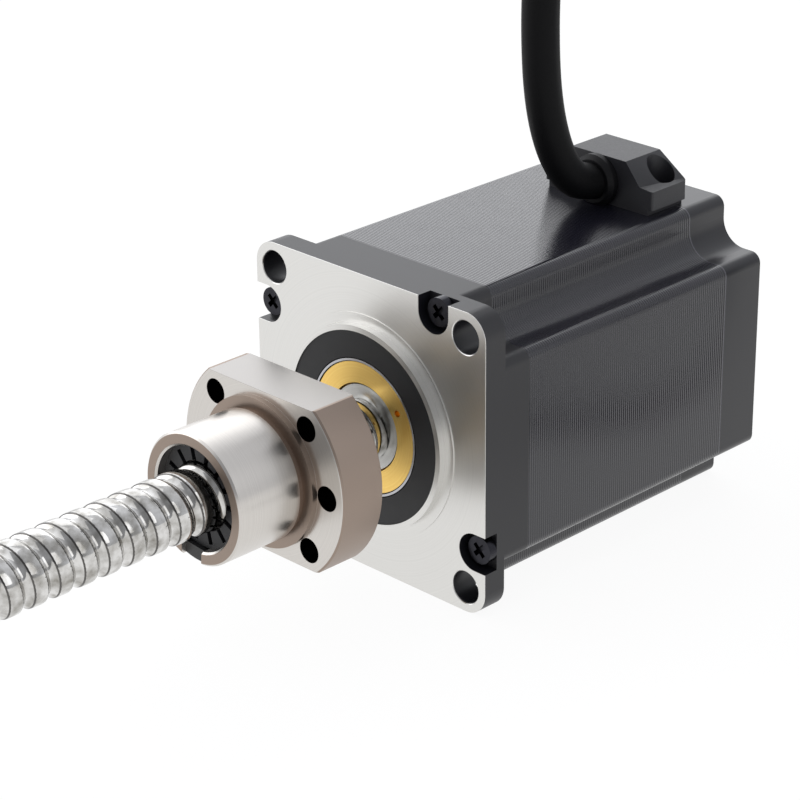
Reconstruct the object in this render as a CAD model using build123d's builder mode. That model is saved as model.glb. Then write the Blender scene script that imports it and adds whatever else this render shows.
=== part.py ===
"""Ball screw stepper motor: a square motor whose hollow rotor turns a ball screw, with a flanged ball nut.

Millimetres. The origin is the centre of the mounting face, on the screw axis. +Y runs into the motor,
-Y out along the screw, and +Z is up, the side that the cable leaves from.
"""

import os
from math import cos, pi, radians, sin, tan

from build123d import *

os.makedirs("parts", exist_ok=True)

# Motor frame
frame_width = 56.4
hole_inset = 4.63
mount_hole_d = 5.9
mount_hole_break = 0.25
flange_thickness = 4.9
flange_corner_r = 4.5
notch_cut = 8.9
notch_fillet_r = 5.0
frame_edge_r = 2.0
front_cover_depth = 10.9
stack_length = 53.0
rear_cover_depth = 10.3
rear_wall = 2.2
rear_edge_break = 0.5

# Pilot and the black cover ring inside it
pilot_d = 38.1
pilot_height = 1.6
pilot_land_d = 41.8
pilot_land_height = 0.2
cover_ring_d = 36.0
cover_ring_bore_d = 26.0
cover_ring_thickness = 3.4
cover_ring_recess = 0.2

# Gaps between pieces that seat in each other, and round pieces that turn
seat_gap = 0.02
running_gap = 0.3

# Bearings
front_bearing_bore_d = 20.0
front_bearing_outer_d = 37.0
front_bearing_width = 8.5
front_bearing_inner_wall = 2.8
front_bearing_outer_wall = 2.7
rear_bearing_bore_d = 15.0
rear_bearing_outer_d = 28.0
rear_bearing_width = 7.0
rear_bearing_inner_wall = 1.8
rear_bearing_outer_wall = 1.9
bearing_lip_d = 24.8
housing_wall = 1.8
wave_washer_thickness = 0.4
wave_washer_height = 1.0

# Stator
screw_hole_d = 3.3
slot_wall = 3.2
pole_count = 8
pole_width = 5.6
pole_shoe_thickness = 2.0
slot_opening = 2.4
air_gap = 0.35
insulator_thickness = 0.8
coil_height = 2.8
coil_clearance = 1.4
coil_thickness = 3.6
coil_overhang = 4.2
insulator_ring_width = 0.7
cavity_wall = 2.7

# Rotor
rotor_d = 30.0
rotor_teeth = 50
tooth_slot_width = 1.0
tooth_slot_depth = 0.9
rotor_cup_length = 24.0
magnet_d = 27.0
magnet_thickness = 3.0
shaft_d = 20.0
shaft_front_d = 15.9
shaft_recess = 0.7
journal_d = 10.0
journal_end = 58.0

# Bearing lock nut on the front of the rotor shaft
lock_nut_d = 24.4
lock_nut_recess = 0.4
lock_nut_bore_d = 16.6
spanner_hole_d = 1.3
spanner_hole_r = 9.9
spanner_hole_angle = 32.0
spanner_hole_depth = 1.5

# Assembly screws and the notches that hold their heads
screw_inset_x = 12.15
screw_inset_z = 2.55
screw_notch_width = 7.1
screw_notch_depth = 3.0
screw_d = 2.9
screw_head_d = 5.2
screw_head_height = 1.7
screw_engagement = 6.0
drive_width = 0.9
drive_length = 3.0
drive_depth = 0.9

# Ball screw
screw_outer_d = 12.0
screw_lead = 5.0
screw_reach = 105.0
screw_end_chamfer = 1.2
track_start = 2.0
track_depth = 1.25
track_width = 2.9
track_clearance = 0.4
track_chords = 12

# Ball nut
nut_gap = 16.0
nut_flange_thickness = 9.4
nut_flange_d = 40.0
nut_flats_width = 30.0
nut_body_d = 23.8
nut_length = 25.1
nut_ring_d = 27.4
nut_ring_length = 1.1
nut_groove_d = 22.8
nut_groove_width = 1.2
nut_bolt_circle_d = 32.0
nut_bolt_d = 4.5
nut_bolt_angle = 45.0
nut_bore_d = 12.8
nut_edge_break = 0.4
cap_seat_d = 18.9
cap_seat_depth = 5.0
cap_recess = 2.0
cap_bore_d = 13.4
lug_width = 5.0
lug_recess = 1.1
lug_angle = -95.0
wiper_thickness = 1.6
finger_count = 14
finger_gap = 1.0
finger_root_d = 17.4

# Cable clamp on the top face
clamp_x = 3.7
clamp_y = 56.0
clamp_depth = 9.6
clamp_width = 26.0
clamp_height = 9.1
clamp_side_height = 4.7
clamp_top_width = 13.0
clamp_foot_width = 19.8
clamp_foot_inset = 1.0
clamp_foot_height = 1.1
clamp_corner_r = 0.5
clamp_screw_pitch = 18.8
clamp_screw_back = 3.1
clamp_screw_hole_d = 5.2
clamp_screw_head_d = 4.2
clamp_screw_head_height = 1.6
clamp_screw_d = 2.0
clamp_screw_length = 4.0
clamp_screw_floor = 1.6
grommet_d = 9.8
grommet_tip_d = 7.8
grommet_length = 2.0
grommet_edge_break = 0.8
cable_height = 4.3

# Cable: it rises from the clamp, arches over beside the motor and comes down to what the motor lies on
cable_d = 6.8
cable_straight_length = 5.4
cable_bend_reach = 11.4
cable_bend_height = 6.4
cable_lean_reach = 15.4
cable_lean_height = 18.0
cable_upright_reach = 16.5
cable_upright_height = 33.5
cable_arch_reach = 16.0
cable_arch_shift = 0.4
cable_arch_r = 34.0
cable_arch_start = 80.0
cable_last_run = 20.0
lead_d = 1.6
lead_reach = 34.0

# Derived places
half_side = frame_width / 2
hole_pitch = frame_width - 2 * hole_inset
notch_wall = half_side - notch_cut
screw_place_x = half_side - screw_inset_x
screw_place_z = half_side - screw_inset_z
slot_circle_d = frame_width - 2 * slot_wall
coil_cavity_d = frame_width - 2 * cavity_wall
coil_outer_r = slot_circle_d / 2 - coil_clearance
coil_inner_r = coil_outer_r - coil_height
front_bearing_inner_od = front_bearing_bore_d + 2 * front_bearing_inner_wall
front_bearing_outer_id = front_bearing_outer_d - 2 * front_bearing_outer_wall
rear_bearing_inner_od = rear_bearing_bore_d + 2 * rear_bearing_inner_wall
rear_bearing_outer_id = rear_bearing_outer_d - 2 * rear_bearing_outer_wall
stack_start = front_cover_depth
stack_end = front_cover_depth + stack_length
motor_end = stack_end + rear_cover_depth
cover_ring_front = cover_ring_recess - pilot_height
cover_ring_rear = cover_ring_front + cover_ring_thickness
front_bearing_start = cover_ring_rear + seat_gap
front_bearing_end = front_bearing_start + front_bearing_width
rear_bearing_end = motor_end - rear_wall - wave_washer_height
rear_bearing_start = rear_bearing_end - rear_bearing_width
stack_middle = (stack_start + stack_end) / 2
rotor_front = stack_middle - magnet_thickness / 2 - rotor_cup_length
rotor_rear = stack_middle + magnet_thickness / 2 + rotor_cup_length
stator_bore = rotor_d + 2 * air_gap
screw_head_front = screw_notch_depth - screw_head_height
nut_rear = -nut_gap
nut_flange_front = nut_rear - nut_flange_thickness
nut_front = nut_rear - nut_length
clamp_screw_y = clamp_y + clamp_depth - clamp_screw_back
cable_z = half_side + cable_height
floor_z = -half_side


def across(y):
    """The plane across the axis at depth y. Its own axes are X and Z, and it faces -Y."""
    return Plane.XZ.offset(-y)


def disc(diameter, y):
    with BuildSketch(across(y)) as face:
        Circle(diameter / 2)
    return face.sketch


def ring(outer_d, inner_d, y_start, y_end, edge=0.0):
    """The half section of a turned ring, with its outer edges broken where edge is given."""
    outer = outer_d / 2
    inner = inner_d / 2
    points = [(inner, y_start), (outer - edge, y_start), (outer, y_start + edge)]
    points += [(outer, y_end - edge), (outer - edge, y_end), (inner, y_end)]
    if edge == 0:
        points = [(inner, y_start), (outer, y_start), (outer, y_end), (inner, y_end)]
    return section(*points)


def section(*points):
    """A face in the XY plane, to revolve about the Y axis, from (radius, y) points."""
    with BuildSketch(Plane.XY) as face:
        with BuildLine():
            Polyline(*points, close=True)
        make_face()
    return face.sketch


def frame_section(y):
    """The motor's square with its corners cut back, as the laminations and covers share it."""
    corner = half_side - notch_wall
    with BuildSketch(across(y)) as face:
        Rectangle(frame_width, frame_width)
        with GridLocations(frame_width - corner, frame_width - corner, 2, 2):
            Rectangle(corner, corner, mode=Mode.SUBTRACT)
        inner = face.vertices().filter_by(lambda v: max(abs(v.X), abs(v.Y)) < notch_wall + corner / 2)
        fillet(inner, notch_fillet_r)
        outer = face.vertices().filter_by(
            lambda v: max(abs(v.X), abs(v.Y)) > half_side - frame_edge_r / 2
            and min(abs(v.X), abs(v.Y)) > notch_wall - frame_edge_r / 2
        )
        fillet(outer, frame_edge_r)
    return face.sketch


def quarter_turns(x, z):
    """Four places in the X-Z plane, each a quarter turn from the last."""
    places = []
    for quarter in range(4):
        angle = radians(90 * quarter)
        places.append((x * cos(angle) - z * sin(angle), x * sin(angle) + z * cos(angle)))
    return places


# Front flange: mounting plate, neck, pilot and bearing seat in one casting
with BuildPart() as front_flange:
    with BuildSketch(across(0)) as plate:
        Rectangle(frame_width, frame_width)
        fillet(plate.vertices(), flange_corner_r)
    extrude(amount=-flange_thickness)
    extrude(frame_section(flange_thickness), amount=-(front_cover_depth - flange_thickness))
    extrude(disc(pilot_land_d, 0), amount=pilot_land_height)
    extrude(disc(pilot_d, 0), amount=pilot_height)
    extrude(
        disc(cover_ring_d + 2 * seat_gap, -pilot_height),
        amount=-(pilot_height + front_bearing_start),
        mode=Mode.SUBTRACT,
    )
    extrude(
        disc(front_bearing_outer_d + 2 * seat_gap, front_bearing_start),
        amount=-(front_cover_depth - front_bearing_start),
        mode=Mode.SUBTRACT,
    )
    with BuildSketch(across(flange_thickness)):
        Circle(coil_cavity_d / 2)
        Circle(front_bearing_outer_d / 2 + housing_wall, mode=Mode.SUBTRACT)
    extrude(amount=-front_cover_depth, mode=Mode.SUBTRACT)
    with BuildSketch(across(0)):
        with GridLocations(hole_pitch, hole_pitch, 2, 2):
            Circle(mount_hole_d / 2)
    extrude(amount=-flange_thickness, mode=Mode.SUBTRACT)
    hole_rims = front_flange.edges().filter_by(GeomType.CIRCLE).filter_by_position(Axis.Y, -0.01, 0.01)
    chamfer(hole_rims.filter_by(lambda rim: abs(rim.radius - mount_hole_d / 2) < seat_gap), mount_hole_break)
    with BuildSketch(across(0)):
        with PolarLocations(0, 4):
            with Locations((screw_place_x, screw_place_z)):
                Circle(screw_notch_width / 2)
            with Locations((screw_place_x, half_side)):
                Rectangle(screw_notch_width, 2 * (half_side - screw_place_z))
    extrude(amount=-screw_notch_depth, mode=Mode.SUBTRACT)
    with BuildSketch(across(0)):
        with Locations(*quarter_turns(screw_place_x, screw_place_z)):
            Circle(screw_hole_d / 2)
    extrude(amount=-front_cover_depth, mode=Mode.SUBTRACT)
front_flange.part.label = "front_flange"
export_step(front_flange.part, "parts/front_flange.step")

# Black ring that closes the pilot in front of the bearing
with BuildPart() as cover_ring:
    revolve(ring(cover_ring_d, cover_ring_bore_d, cover_ring_front, cover_ring_rear), axis=Axis.Y)
cover_ring.part.label = "bearing_cover_ring"
export_step(cover_ring.part, "parts/bearing_cover_ring.step")

# Lamination stack with its pole shoes
with BuildPart() as stator_core:
    extrude(frame_section(stack_start), amount=-stack_length)
    pole_reach = (slot_circle_d - stator_bore) / 2
    with BuildSketch(across(stack_start)):
        Circle(slot_circle_d / 2)
        Circle(stator_bore / 2 + pole_shoe_thickness, mode=Mode.SUBTRACT)
        with PolarLocations(stator_bore / 2 + pole_reach / 2, pole_count):
            Rectangle(pole_reach + 1, pole_width, mode=Mode.SUBTRACT)
        with PolarLocations(stator_bore / 2, pole_count, start_angle=180 / pole_count):
            Rectangle(2 * pole_shoe_thickness + 1, slot_opening)
        Circle(stator_bore / 2)
    extrude(amount=-stack_length, mode=Mode.SUBTRACT)
    with BuildSketch(across(stack_start)):
        with Locations(*quarter_turns(screw_place_x, screw_place_z)):
            Circle(screw_hole_d / 2)
    extrude(amount=-stack_length, mode=Mode.SUBTRACT)
    with BuildSketch(Plane.XY.offset(half_side)):
        with Locations((clamp_x, clamp_screw_y)):
            with GridLocations(clamp_screw_pitch, 1, 2, 1):
                Circle(clamp_screw_d / 2 + seat_gap)
    extrude(amount=-(clamp_screw_length - clamp_screw_floor), mode=Mode.SUBTRACT)
stator_core.part.label = "stator_core"
export_step(stator_core.part, "parts/stator_core.step")

# End insulators: a ring on each end of the stack, with an arm over every pole
insulator_r = coil_cavity_d / 2 - running_gap
arm_reach = insulator_r - coil_inner_r
for name, start in (
    ("front_insulator", stack_start - insulator_thickness),
    ("rear_insulator", stack_end),
):
    with BuildPart() as insulator:
        with BuildSketch(across(start)):
            Circle(insulator_r)
            Circle(insulator_r - insulator_ring_width, mode=Mode.SUBTRACT)
            with PolarLocations((insulator_r + coil_inner_r) / 2, pole_count):
                Rectangle(arm_reach - running_gap, pole_width)
        extrude(amount=-insulator_thickness)
    insulator.part.label = name
    export_step(insulator.part, f"parts/{name}.step")

# Phase coils, one round each pole
coil_gap = insulator_thickness + seat_gap
with BuildPart() as stator_coils:
    for pole in range(pole_count):
        angle = 360 / pole_count * pole
        direction = (cos(radians(angle)), 0, sin(radians(angle)))
        inner_face = Plane(
            origin=(coil_inner_r * direction[0], stack_middle, coil_inner_r * direction[2]),
            x_dir=(0, 1, 0),
            z_dir=direction,
        )
        with BuildSketch(inner_face):
            Rectangle(stack_length + 2 * (coil_gap + coil_overhang), pole_width + 2 * coil_thickness)
            Rectangle(stack_length + 2 * coil_gap, pole_width + 2 * seat_gap, mode=Mode.SUBTRACT)
        extrude(amount=coil_outer_r - coil_inner_r)
stator_coils.part.label = "stator_coils"
export_step(stator_coils.part, "parts/stator_coils.step")

# Rear cover: cup with the rear bearing seat in its end wall
with BuildPart() as rear_cover:
    extrude(frame_section(stack_end), amount=-rear_cover_depth)
    chamfer(rear_cover.faces().sort_by(Axis.Y)[-1].outer_wire().edges(), rear_edge_break)
    with BuildSketch(across(stack_end)):
        Circle(coil_cavity_d / 2)
        Circle(rear_bearing_outer_d / 2 + housing_wall, mode=Mode.SUBTRACT)
    extrude(amount=-(rear_cover_depth - rear_wall), mode=Mode.SUBTRACT)
    extrude(
        disc(rear_bearing_outer_d + 2 * seat_gap, stack_end),
        amount=-(rear_cover_depth - rear_wall),
        mode=Mode.SUBTRACT,
    )
    with BuildSketch(across(stack_end)):
        with Locations(*quarter_turns(screw_place_x, screw_place_z)):
            Circle(screw_d / 2 + seat_gap)
    extrude(amount=-(screw_engagement + 1), mode=Mode.SUBTRACT)
rear_cover.part.label = "rear_cover"
export_step(rear_cover.part, "parts/rear_cover.step")

# Wave washer that preloads the rear bearing: a thin ring pressed into waves, drawn as their mean cone
washer_outer = rear_bearing_outer_d / 2 - running_gap
washer_inner = rear_bearing_outer_id / 2
with BuildPart() as wave_washer:
    washer_rear = motor_end - rear_wall - seat_gap
    washer_front = rear_bearing_end + seat_gap
    revolve(
        section(
            (washer_inner, washer_front),
            (washer_inner, washer_front + wave_washer_thickness),
            (washer_outer, washer_rear),
            (washer_outer, washer_rear - wave_washer_thickness),
        ),
        axis=Axis.Y,
    )
wave_washer.part.label = "wave_washer"
export_step(wave_washer.part, "parts/wave_washer.step")

# Bearing rings
front_outer_size = (front_bearing_outer_d, front_bearing_outer_id, front_bearing_start, front_bearing_end)
rear_outer_size = (rear_bearing_outer_d, rear_bearing_outer_id, rear_bearing_start, rear_bearing_end)
rear_inner_size = (rear_bearing_inner_od, rear_bearing_bore_d, rear_bearing_start, rear_bearing_end)
bearing_rings = (
    ("front_bearing_outer_ring", front_outer_size),
    ("rear_bearing_outer_ring", rear_outer_size),
    ("rear_bearing_inner_ring", rear_inner_size),
)
for name, ring_size in bearing_rings:
    with BuildPart() as bearing_ring:
        revolve(ring(*ring_size), axis=Axis.Y)
    bearing_ring.part.label = name
    export_step(bearing_ring.part, f"parts/{name}.step")

# Front inner ring, with the thin lip that shows round the lock nut
with BuildPart() as front_inner_ring:
    revolve(
        section(
            (front_bearing_bore_d / 2, front_bearing_start),
            (bearing_lip_d / 2, front_bearing_start),
            (bearing_lip_d / 2, cover_ring_front),
            (front_bearing_inner_od / 2, cover_ring_front),
            (front_bearing_inner_od / 2, front_bearing_end),
            (front_bearing_bore_d / 2, front_bearing_end),
        ),
        axis=Axis.Y,
    )
front_inner_ring.part.label = "front_bearing_inner_ring"
export_step(front_inner_ring.part, "parts/front_bearing_inner_ring.step")

# Rotor shaft: a sleeve that takes the screw's journal and carries both bearings
shaft_front = shaft_recess - pilot_height
shaft_r = shaft_d / 2
rear_journal_r = rear_bearing_bore_d / 2
with BuildPart() as rotor_shaft:
    revolve(
        section(
            (journal_d / 2 + seat_gap, shaft_front),
            (shaft_front_d / 2, shaft_front),
            (shaft_front_d / 2, front_bearing_start),
            (shaft_r - seat_gap, front_bearing_start),
            (shaft_r - seat_gap, front_bearing_end),
            (front_bearing_inner_od / 2 - running_gap, front_bearing_end),
            (front_bearing_inner_od / 2 - running_gap, rotor_front),
            (shaft_r - seat_gap, rotor_front),
            (shaft_r - seat_gap, rotor_rear),
            (rear_bearing_inner_od / 2, rotor_rear),
            (rear_bearing_inner_od / 2, rear_bearing_start),
            (rear_journal_r - seat_gap, rear_bearing_start),
            (rear_journal_r - seat_gap, rear_bearing_end),
            (0, rear_bearing_end),
            (0, journal_end + running_gap),
            (journal_d / 2 + seat_gap, journal_end + running_gap),
        ),
        axis=Axis.Y,
    )
rotor_shaft.part.label = "rotor_shaft"
export_step(rotor_shaft.part, "parts/rotor_shaft.step")

# Toothed rotor cups, the rear one half a tooth round from the front one
tooth_pitch = 360 / rotor_teeth
for name, start, turn in (
    ("rotor_cup_front", rotor_front, 0),
    ("rotor_cup_rear", rotor_rear - rotor_cup_length, tooth_pitch / 2),
):
    with BuildPart() as rotor_cup:
        with BuildSketch(across(start)):
            Circle(rotor_d / 2)
            with PolarLocations(rotor_d / 2, rotor_teeth, start_angle=turn):
                Rectangle(2 * tooth_slot_depth, tooth_slot_width, mode=Mode.SUBTRACT)
            Circle(shaft_r, mode=Mode.SUBTRACT)
        extrude(amount=-rotor_cup_length)
    rotor_cup.part.label = name
    export_step(rotor_cup.part, f"parts/{name}.step")

with BuildPart() as rotor_magnet:
    magnet_start = stack_middle - magnet_thickness / 2 + seat_gap
    magnet_end = stack_middle + magnet_thickness / 2 - seat_gap
    revolve(ring(magnet_d, shaft_d, magnet_start, magnet_end), axis=Axis.Y)
rotor_magnet.part.label = "rotor_magnet"
export_step(rotor_magnet.part, "parts/rotor_magnet.step")

# Brass lock nut with two spanner holes
lock_nut_front = lock_nut_recess - pilot_height
lock_nut_rear = front_bearing_start - seat_gap
with BuildPart() as lock_nut:
    revolve(ring(lock_nut_d, lock_nut_bore_d, lock_nut_front, lock_nut_rear), axis=Axis.Y)
    with BuildSketch(across(lock_nut_front)):
        with PolarLocations(spanner_hole_r, 2, start_angle=spanner_hole_angle):
            Circle(spanner_hole_d / 2)
    extrude(amount=-spanner_hole_depth, mode=Mode.SUBTRACT)
lock_nut.part.label = "bearing_lock_nut"
export_step(lock_nut.part, "parts/bearing_lock_nut.step")

# Four long assembly screws with cross recesses
with BuildPart() as assembly_screws:
    for x, z in quarter_turns(screw_place_x, screw_place_z):
        with BuildSketch(across(screw_head_front)):
            with Locations((x, z)):
                Circle(screw_head_d / 2)
        extrude(amount=-screw_head_height)
        with BuildSketch(across(screw_notch_depth)):
            with Locations((x, z)):
                Circle(screw_d / 2)
        extrude(amount=-(stack_end + screw_engagement - screw_notch_depth))
        with BuildSketch(across(screw_head_front)):
            with Locations((x, z)):
                Rectangle(drive_width, drive_length, rotation=45)
                Rectangle(drive_length, drive_width, rotation=45)
        extrude(amount=-drive_depth, mode=Mode.SUBTRACT)
assembly_screws.part.label = "assembly_screws"
export_step(assembly_screws.part, "parts/assembly_screws.step")

# Ball screw: ground rod with a right-handed helical track, and the journal fixed in the rotor shaft.
# The track is a pointed arch, cut along straight chords of the helix, and it runs out at the free end.
screw_shoulder = shaft_front - seat_gap
with BuildPart() as ball_screw:
    revolve(
        section(
            (0, -screw_reach),
            (screw_outer_d / 2 - screw_end_chamfer, -screw_reach),
            (screw_outer_d / 2, screw_end_chamfer - screw_reach),
            (screw_outer_d / 2, screw_shoulder),
            (journal_d / 2, screw_shoulder),
            (journal_d / 2, journal_end),
            (0, journal_end),
        ),
        axis=Axis.Y,
    )
track_steps = int((screw_reach - track_start) / screw_lead + 1) * track_chords
track_points = []
for step in range(track_steps + 1):
    turn = 2 * pi * step / track_chords
    along = track_start + screw_lead * step / track_chords
    track_points.append((screw_outer_d / 2 * sin(turn), -along, -screw_outer_d / 2 * cos(turn)))
with BuildPart() as ball_track:
    with BuildLine() as track_path:
        Polyline(*track_points)
    mouth = track_width / 2 * (1 + track_clearance / track_depth)
    with BuildSketch(Plane(origin=track_path.line @ 0, x_dir=(0, 0, -1), z_dir=track_path.line % 0)):
        with BuildLine():
            Polyline((track_clearance, -mouth), (-track_depth, 0), (track_clearance, mouth), close=True)
        make_face()
    sweep(path=track_path.line, transition=Transition.RIGHT)
grooved_screw = ball_screw.part - ball_track.part
grooved_screw.label = "ball_screw"
export_step(grooved_screw, "parts/ball_screw.step")

# Nut body: flanged at the motor end, flats top and bottom, six bolt holes and a spigot
with BuildPart() as nut_body:
    with BuildSketch(across(nut_rear)):
        Circle(nut_flange_d / 2)
        Rectangle(nut_flange_d, nut_flats_width, mode=Mode.INTERSECT)
    extrude(amount=nut_flange_thickness)
    chamfer(nut_body.edges().filter_by(GeomType.CIRCLE), nut_edge_break)
    extrude(disc(nut_ring_d, nut_flange_front), amount=nut_ring_length)
    extrude(disc(nut_body_d, nut_flange_front), amount=nut_length - nut_flange_thickness)
    groove_end = nut_flange_front - nut_ring_length
    revolve(
        ring(nut_ring_d, nut_groove_d, groove_end - nut_groove_width, groove_end),
        axis=Axis.Y,
        mode=Mode.SUBTRACT,
    )
    extrude(disc(nut_bore_d, nut_rear), amount=nut_length, mode=Mode.SUBTRACT)
    extrude(disc(cap_seat_d, nut_front), amount=-cap_seat_depth, mode=Mode.SUBTRACT)
    extrude(disc(cap_seat_d, nut_rear), amount=cap_seat_depth, mode=Mode.SUBTRACT)
    chamfer(nut_body.faces().sort_by(Axis.Y)[0].edges(), nut_edge_break)
    with BuildSketch(across(nut_rear)):
        for side in (0, 180):
            with PolarLocations(
                nut_bolt_circle_d / 2, 3, start_angle=side - nut_bolt_angle, angular_range=3 * nut_bolt_angle
            ):
                Circle(nut_bolt_d / 2)
    extrude(amount=nut_flange_thickness, mode=Mode.SUBTRACT)
    with BuildSketch(across(nut_front)):
        with PolarLocations((nut_body_d + cap_seat_d) / 4, 1, start_angle=lug_angle):
            Rectangle(nut_body_d - cap_seat_d, lug_width)
    extrude(amount=-cap_seat_depth, mode=Mode.SUBTRACT)
nut_body.part.label = "nut_body"
export_step(nut_body.part, "parts/nut_body.step")


def finger_wiper(start):
    """A wiper ring whose fingers reach in to the screw, parted by radial slots."""
    finger_reach = finger_root_d / 2 - screw_outer_d / 2
    with BuildPart() as wiper:
        with BuildSketch(across(start)):
            Circle(cap_seat_d / 2 - seat_gap)
            Circle(screw_outer_d / 2 + running_gap, mode=Mode.SUBTRACT)
            with PolarLocations(screw_outer_d / 2 + finger_reach / 2, finger_count):
                Rectangle(finger_reach, finger_gap, mode=Mode.SUBTRACT)
        extrude(amount=-wiper_thickness)
    return wiper.part


# Finger wipers at both ends of the nut, and behind each a return cap that turns the balls back.
# The front cap has a lug that shows in the slot of the nut's rim.
front_wiper_start = nut_front + cap_recess
front_cap_start = front_wiper_start + wiper_thickness + seat_gap
front_cap_end = nut_front + cap_seat_depth - seat_gap
rear_wiper_start = nut_rear - cap_recess - wiper_thickness
rear_cap_start = nut_rear - cap_seat_depth + seat_gap
rear_cap_end = rear_wiper_start - seat_gap
front_wiper = finger_wiper(front_wiper_start)
front_wiper.label = "front_wiper"
export_step(front_wiper, "parts/front_wiper.step")
rear_wiper = finger_wiper(rear_wiper_start)
rear_wiper.label = "rear_wiper"
export_step(rear_wiper, "parts/rear_wiper.step")
cap_d = cap_seat_d - 2 * seat_gap
lug_outer = nut_body_d / 2 - seat_gap
lug_start = nut_front + lug_recess
with BuildPart() as front_return_cap:
    revolve(ring(cap_d, cap_bore_d, front_cap_start, front_cap_end), axis=Axis.Y)
    for inner, start in ((cap_bore_d / 2 + 1, front_cap_start), (cap_seat_d / 2 + seat_gap, lug_start)):
        with BuildSketch(across(start)):
            with PolarLocations((inner + lug_outer) / 2, 1, start_angle=lug_angle):
                Rectangle(lug_outer - inner, lug_width - 2 * seat_gap)
            Circle(lug_outer, mode=Mode.INTERSECT)
        extrude(amount=start - front_cap_end)
front_return_cap.part.label = "front_return_cap"
export_step(front_return_cap.part, "parts/front_return_cap.step")
with BuildPart() as rear_return_cap:
    revolve(ring(cap_d, cap_bore_d, rear_cap_start, rear_cap_end), axis=Axis.Y)
rear_return_cap.part.label = "rear_return_cap"
export_step(rear_return_cap.part, "parts/rear_return_cap.step")

# Cable clamp: moulded block with sloped shoulders, screwed down at both ends.
# Its shoulders end on a ledge that narrows towards the rear, and its foot is set in from its sides.
half_clamp = clamp_width / 2
half_top = clamp_top_width / 2
clamp_foot = half_side + clamp_foot_height
clamp_side = half_side + clamp_side_height
clamp_top = half_side + clamp_height
with BuildPart() as cable_clamp:
    for y, ledge in ((clamp_y, clamp_foot_width / 2), (clamp_y + clamp_depth, half_clamp - clamp_corner_r)):
        with BuildSketch(across(y)):
            with BuildLine() as outline:
                Polyline(
                    (clamp_x, half_side),
                    (clamp_x + half_clamp - clamp_foot_inset, half_side),
                    (clamp_x + half_clamp - clamp_foot_inset, clamp_foot),
                    (clamp_x + half_clamp, clamp_foot),
                    (clamp_x + half_clamp, clamp_side),
                    (clamp_x + ledge, clamp_side + running_gap),
                    (clamp_x + half_top, clamp_top),
                    (clamp_x, clamp_top),
                )
                mirror(about=Plane.YZ.offset(clamp_x))
            make_face()
    loft(ruled=True)
    upright = cable_clamp.edges().filter_by(Axis.Z).filter_by(lambda edge: edge.center().Z > clamp_foot)
    fillet(upright.group_by(Axis.X)[0] + upright.group_by(Axis.X)[-1], clamp_corner_r)
    with BuildSketch(across(clamp_y)):
        with Locations((clamp_x, cable_z)):
            Circle(grommet_tip_d / 2)
    extrude(amount=-clamp_depth / 2, mode=Mode.SUBTRACT)
    with BuildSketch(Plane.XY.offset(half_side + clamp_screw_floor)):
        with Locations((clamp_x, clamp_screw_y)):
            with GridLocations(clamp_screw_pitch, 1, 2, 1):
                Circle(clamp_screw_hole_d / 2)
    extrude(amount=clamp_height, mode=Mode.SUBTRACT)
    with BuildSketch(Plane.XY.offset(half_side)):
        with Locations((clamp_x, clamp_screw_y)):
            with GridLocations(clamp_screw_pitch, 1, 2, 1):
                Circle(clamp_screw_d / 2 + seat_gap)
    extrude(amount=clamp_screw_floor, mode=Mode.SUBTRACT)
cable_clamp.part.label = "cable_clamp"
export_step(cable_clamp.part, "parts/cable_clamp.step")

# Two clamp screws
with BuildPart() as clamp_screws:
    head_seat = half_side + clamp_screw_floor + seat_gap
    with BuildSketch(Plane.XY.offset(head_seat)):
        with Locations((clamp_x, clamp_screw_y)):
            with GridLocations(clamp_screw_pitch, 1, 2, 1):
                Circle(clamp_screw_head_d / 2)
    extrude(amount=clamp_screw_head_height)
    with BuildSketch(Plane.XY.offset(head_seat)):
        with Locations((clamp_x, clamp_screw_y)):
            with GridLocations(clamp_screw_pitch, 1, 2, 1):
                Circle(clamp_screw_d / 2)
    extrude(amount=running_gap - clamp_screw_length)
clamp_screws.part.label = "clamp_screws"
export_step(clamp_screws.part, "parts/clamp_screws.step")

# Rubber grommet in the clamp
with BuildPart() as cable_grommet:
    grommet_end = clamp_y + clamp_depth / 2 - running_gap
    with BuildSketch(across(clamp_y - grommet_length)):
        with Locations((clamp_x, cable_z)):
            Circle(grommet_d / 2)
    extrude(amount=seat_gap - grommet_length)
    chamfer(cable_grommet.faces().sort_by(Axis.Y)[0].edges(), grommet_edge_break)
    with BuildSketch(across(clamp_y - grommet_length)):
        with Locations((clamp_x, half_side + seat_gap - grommet_d)):
            Rectangle(2 * grommet_d, 2 * grommet_d)
    extrude(amount=-grommet_length, mode=Mode.SUBTRACT)
    with BuildSketch(across(clamp_y - seat_gap)):
        with Locations((clamp_x, cable_z)):
            Circle(grommet_tip_d / 2 - seat_gap)
    extrude(amount=clamp_y - seat_gap - grommet_end)
    with BuildSketch(across(clamp_y - grommet_length)):
        with Locations((clamp_x, cable_z)):
            Circle(cable_d / 2 + seat_gap)
    extrude(amount=-(grommet_length + clamp_depth), mode=Mode.SUBTRACT)
cable_grommet.part.label = "cable_grommet"
export_step(cable_grommet.part, "parts/cable_grommet.step")


def bend_radii(points):
    """The radius of each bend of a route, as wide as its shorter neighbouring run allows."""
    radii = []
    for before, corner, after in zip(points, points[1:], points[2:]):
        arriving = Vector(*corner) - Vector(*before)
        leaving = Vector(*after) - Vector(*corner)
        half_turn = radians(arriving.get_angle(leaving)) / 2
        radii.append(0.45 * min(arriving.length, leaving.length) / tan(half_turn))
    return radii


def tube(diameter, points, radii):
    """A round cord along straight runs joined by tangent bends."""
    with BuildPart() as cord:
        with BuildLine() as route:
            FilletPolyline(*points, radius=radii)
        with BuildSketch(Plane(origin=route.line @ 0, z_dir=route.line % 0)):
            Circle(diameter / 2)
        sweep(path=route.line)
    return cord.part


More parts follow.
